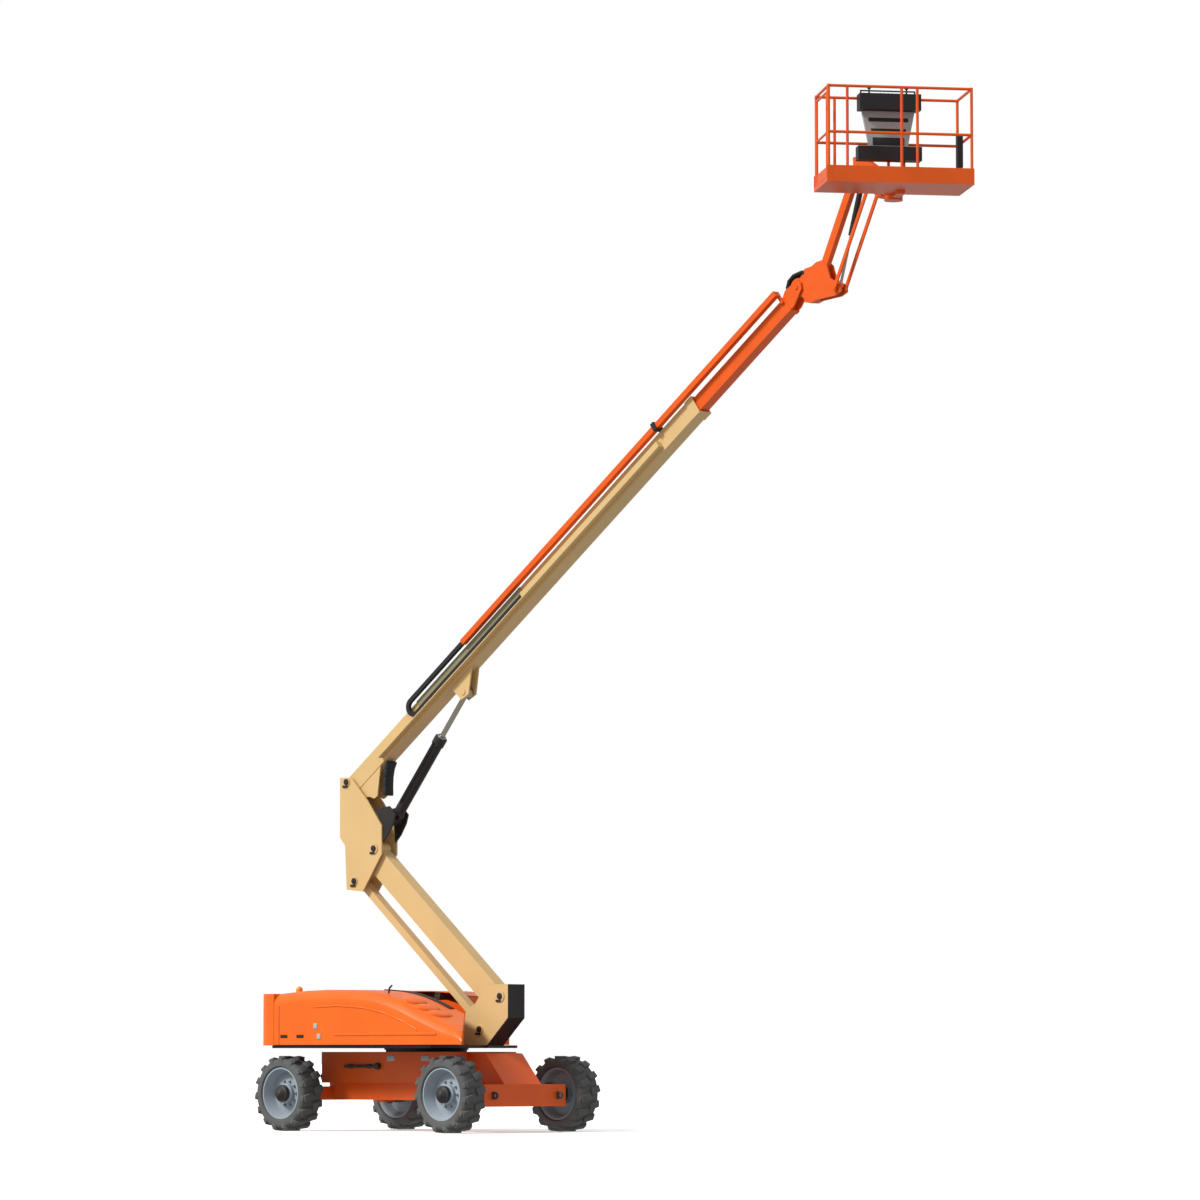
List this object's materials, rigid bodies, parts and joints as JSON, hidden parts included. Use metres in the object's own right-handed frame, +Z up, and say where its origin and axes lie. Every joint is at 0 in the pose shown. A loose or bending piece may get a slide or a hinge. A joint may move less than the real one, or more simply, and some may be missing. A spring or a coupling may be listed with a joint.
{
  "type": "articulating boom lift",
  "caption": "Four-wheel articulating boom lift with a raised parallelogram tower, a telescopic boom with an energy carrier, a jib and a railed work platform.",
  "frame": {"origin": "on the ground, under the axis that the turntable swings about", "axes": "+X the way the boom points, +Y to the left of the machine, +Z up"},
  "size_m": [11.5434, 2.6786, 12.7927],
  "materials": {
    "orange_paint": "gloss",
    "cream_paint": "gloss",
    "black_paint": "satin",
    "black_plastic": "matte",
    "tyre_rubber": "matte",
    "rim_paint": "satin",
    "grey_paint": "satin",
    "engine_iron": "matte",
    "rod_chrome": "polished",
    "amber_lens": "gloss"
  },
  "bodies": {
    "chassis": {"chassis_frame": "orange_paint", "drive_axle": "black_paint", "steer_axle": "orange_paint", "tie_down_lugs": "black_paint", "slew_ring": "black_paint"},
    "knuckle_right_body": {"knuckle_right": "black_paint"},
    "knuckle_left_body": {"knuckle_left": "black_paint"},
    "tie_rod_body": {"tie_rod": "black_paint"},
    "wheel_drive_right": {"tyre_drive_right": "tyre_rubber", "rim_drive_right": "rim_paint"},
    "wheel_drive_left": {"tyre_drive_left": "tyre_rubber", "rim_drive_left": "rim_paint"},
    "wheel_steer_right": {"tyre_steer_right": "tyre_rubber", "rim_steer_right": "rim_paint"},
    "wheel_steer_left": {"tyre_steer_left": "tyre_rubber", "rim_steer_left": "rim_paint"},
    "turntable": {"deck": "black_paint", "counterweight": "orange_paint", "well_walls": "orange_paint", "riser": "cream_paint", "riser_cover": "black_paint", "engine": "engine_iron", "tank": "black_paint", "beacon": "amber_lens"},
    "hood_right_body": {"hood_right": "orange_paint"},
    "hood_left_body": {"hood_left": "orange_paint"},
    "tower": {"tower_boom": "cream_paint"},
    "tower_link_body": {"tower_link": "cream_paint"},
    "upright_body": {"upright": "cream_paint", "cylinder_bracket": "black_paint"},
    "boom": {"boom_base": "cream_paint", "boom_guides": "black_plastic", "carrier_tray": "cream_paint"},
    "carrier": {"carrier_loop": "black_plastic"},
    "lift_rod_body": {"lift_rod": "rod_chrome"},
    "lift_barrel_body": {"lift_barrel": "black_paint"},
    "fly": {"boom_fly": "orange_paint", "push_tube": "orange_paint"},
    "nose": {"nose_knuckle": "orange_paint"},
    "jib": {"jib_arm": "orange_paint", "jib_barrel": "black_paint"},
    "jib_rod_body": {"jib_rod": "rod_chrome"},
    "jib_link_body": {"jib_links": "orange_paint"},
    "jib_head_body": {"jib_head": "orange_paint"},
    "platform": {"rotator": "orange_paint", "platform_floor": "orange_paint", "toe_boards": "orange_paint", "platform_rails": "orange_paint", "controls": "black_plastic", "console_stand": "grey_paint"},
    "gate": {"platform_gate": "orange_paint"}
  },
  "joints": [
    {"name": "steer_left", "type": "hinge", "parent": "chassis", "child": "knuckle_left_body", "pos_m": [-1.525, 0.8, 0.5], "axis": [0, 0, 1], "range_deg": [-35, 35]},
    {"name": "steer_right", "type": "hinge", "parent": "chassis", "child": "knuckle_right_body", "pos_m": [-1.525, -0.8, 0.5], "axis": [0, 0, 1], "range_deg": [-35, 35]},
    {"name": "tie_rod_swivel", "type": "hinge", "parent": "knuckle_left_body", "child": "tie_rod_body", "pos_m": [-1.705, 0.8, 0.45], "axis": [0, 0, 1], "range_deg": [-35, 35]},
    {"name": "wheel_drive_right_spin", "type": "hinge", "parent": "chassis", "child": "wheel_drive_right", "pos_m": [1.525, -1.065, 0.5], "axis": [0, 1, 0], "continuous": true},
    {"name": "wheel_drive_left_spin", "type": "hinge", "parent": "chassis", "child": "wheel_drive_left", "pos_m": [1.525, 1.065, 0.5], "axis": [0, 1, 0], "continuous": true},
    {"name": "wheel_steer_right_spin", "type": "hinge", "parent": "knuckle_right_body", "child": "wheel_steer_right", "pos_m": [-1.525, -1.065, 0.5], "axis": [0, 1, 0], "continuous": true},
    {"name": "wheel_steer_left_spin", "type": "hinge", "parent": "knuckle_left_body", "child": "wheel_steer_left", "pos_m": [-1.525, 1.065, 0.5], "axis": [0, 1, 0], "continuous": true},
    {"name": "swing", "type": "hinge", "parent": "chassis", "child": "turntable", "pos_m": [0, 0, 1.0765], "axis": [0, 0, 1], "continuous": true},
    {"name": "hood_right_open", "type": "hinge", "parent": "turntable", "child": "hood_right_body", "pos_m": [0, -0.4, 1.8], "axis": [-1, 0, 0], "range_deg": [0, 65]},
    {"name": "hood_left_open", "type": "hinge", "parent": "turntable", "child": "hood_left_body", "pos_m": [0, 0.4, 1.8], "axis": [1, 0, 0], "range_deg": [0, 65]},
    {"name": "tower_lift", "type": "hinge", "parent": "turntable", "child": "tower", "pos_m": [1.53, 0, 1.775], "axis": [0, 1, 0], "range_deg": [-37.85, 28.15]},
    {"name": "tower_link_pivot", "type": "hinge", "parent": "turntable", "child": "tower_link_body", "pos_m": [1.155, 0, 1.345], "axis": [0, 1, 0], "range_deg": [-37.85, 28.15]},
    {"name": "upright_level", "type": "hinge", "parent": "tower", "child": "upright_body", "pos_m": [-0.85993, 0, 3.76975], "axis": [0, 1, 0], "range_deg": [-28.15, 37.85]},
    {"name": "boom_lift", "type": "hinge", "parent": "upright_body", "child": "boom", "pos_m": [-1.39593, 0, 4.67975], "axis": [0, -1, 0], "range_deg": [-36.3, 38.7]},
    {"name": "lift_rod_pivot", "type": "hinge", "parent": "boom", "child": "lift_rod_body", "pos_m": [0.75192, 0, 5.79964], "axis": [0, -1, 0], "range_deg": [-3, 3.2]},
    {"name": "lift_cylinder", "type": "slide", "parent": "lift_rod_body", "child": "lift_barrel_body", "axis": [-0.6385, 0, -0.7696], "range_m": [-0.56, 0.6]},
    {"name": "fly_extend", "type": "slide", "parent": "boom", "child": "fly", "axis": [0.8059, 0, 0.592], "range_m": [-1.8, 3.9]},
    {"name": "carrier_slide", "type": "slide", "parent": "boom", "child": "carrier", "axis": [0.8059, 0, 0.592], "range_m": [-0.9, 1.95]},
    {"name": "nose_level", "type": "hinge", "parent": "fly", "child": "nose", "pos_m": [6.66336, 0, 10.59988], "axis": [0, -1, 0], "range_deg": [-38.7, 36.3]},
    {"name": "jib_lift", "type": "hinge", "parent": "nose", "child": "jib", "pos_m": [7.07536, 0, 10.81188], "axis": [0, -1, 0], "range_deg": [-100, 10]},
    {"name": "jib_link_pivot", "type": "hinge", "parent": "nose", "child": "jib_link_body", "pos_m": [7.32036, 0, 10.51288], "axis": [0, -1, 0], "range_deg": [-100, 10]},
    {"name": "jib_head_level", "type": "hinge", "parent": "jib", "child": "jib_head_body", "pos_m": [7.66702, 0, 12.08071], "axis": [0, -1, 0], "range_deg": [-10, 100]},
    {"name": "jib_cylinder", "type": "slide", "parent": "jib", "child": "jib_rod_body", "axis": [-0.2767, 0, -0.9609], "range_m": [-0.57, 0.06]},
    {"name": "platform_swivel", "type": "hinge", "parent": "jib_head_body", "child": "platform", "pos_m": [8.20702, 0, 11.58271], "axis": [0, 0, 1], "range_deg": [-52.3, 127.7]},
    {"name": "gate_swing", "type": "hinge", "parent": "platform", "child": "gate", "pos_m": [8.32212, -1.36041, 12.18271], "axis": [0, 0, -1], "range_deg": [0, 90]}
  ],
  "couplings": [
    {"joint": "steer_right", "follows": "steer_left", "ratio": 1},
    {"joint": "tie_rod_swivel", "follows": "steer_left", "ratio": -1},
    {"joint": "tower_link_pivot", "follows": "tower_lift", "ratio": 1},
    {"joint": "upright_level", "follows": "tower_lift", "ratio": -1},
    {"joint": "lift_rod_pivot", "follows": "boom_lift", "ratio": 0.078},
    {"joint": "lift_cylinder", "follows": "boom_lift", "m_per_rad": 0.859},
    {"joint": "carrier_slide", "follows": "fly_extend", "ratio": 0.5},
    {"joint": "nose_level", "follows": "boom_lift", "ratio": -1},
    {"joint": "jib_link_pivot", "follows": "jib_lift", "ratio": 1},
    {"joint": "jib_head_level", "follows": "jib_lift", "ratio": -1},
    {"joint": "jib_cylinder", "follows": "jib_lift", "m_per_rad": 0.32}
  ]
}
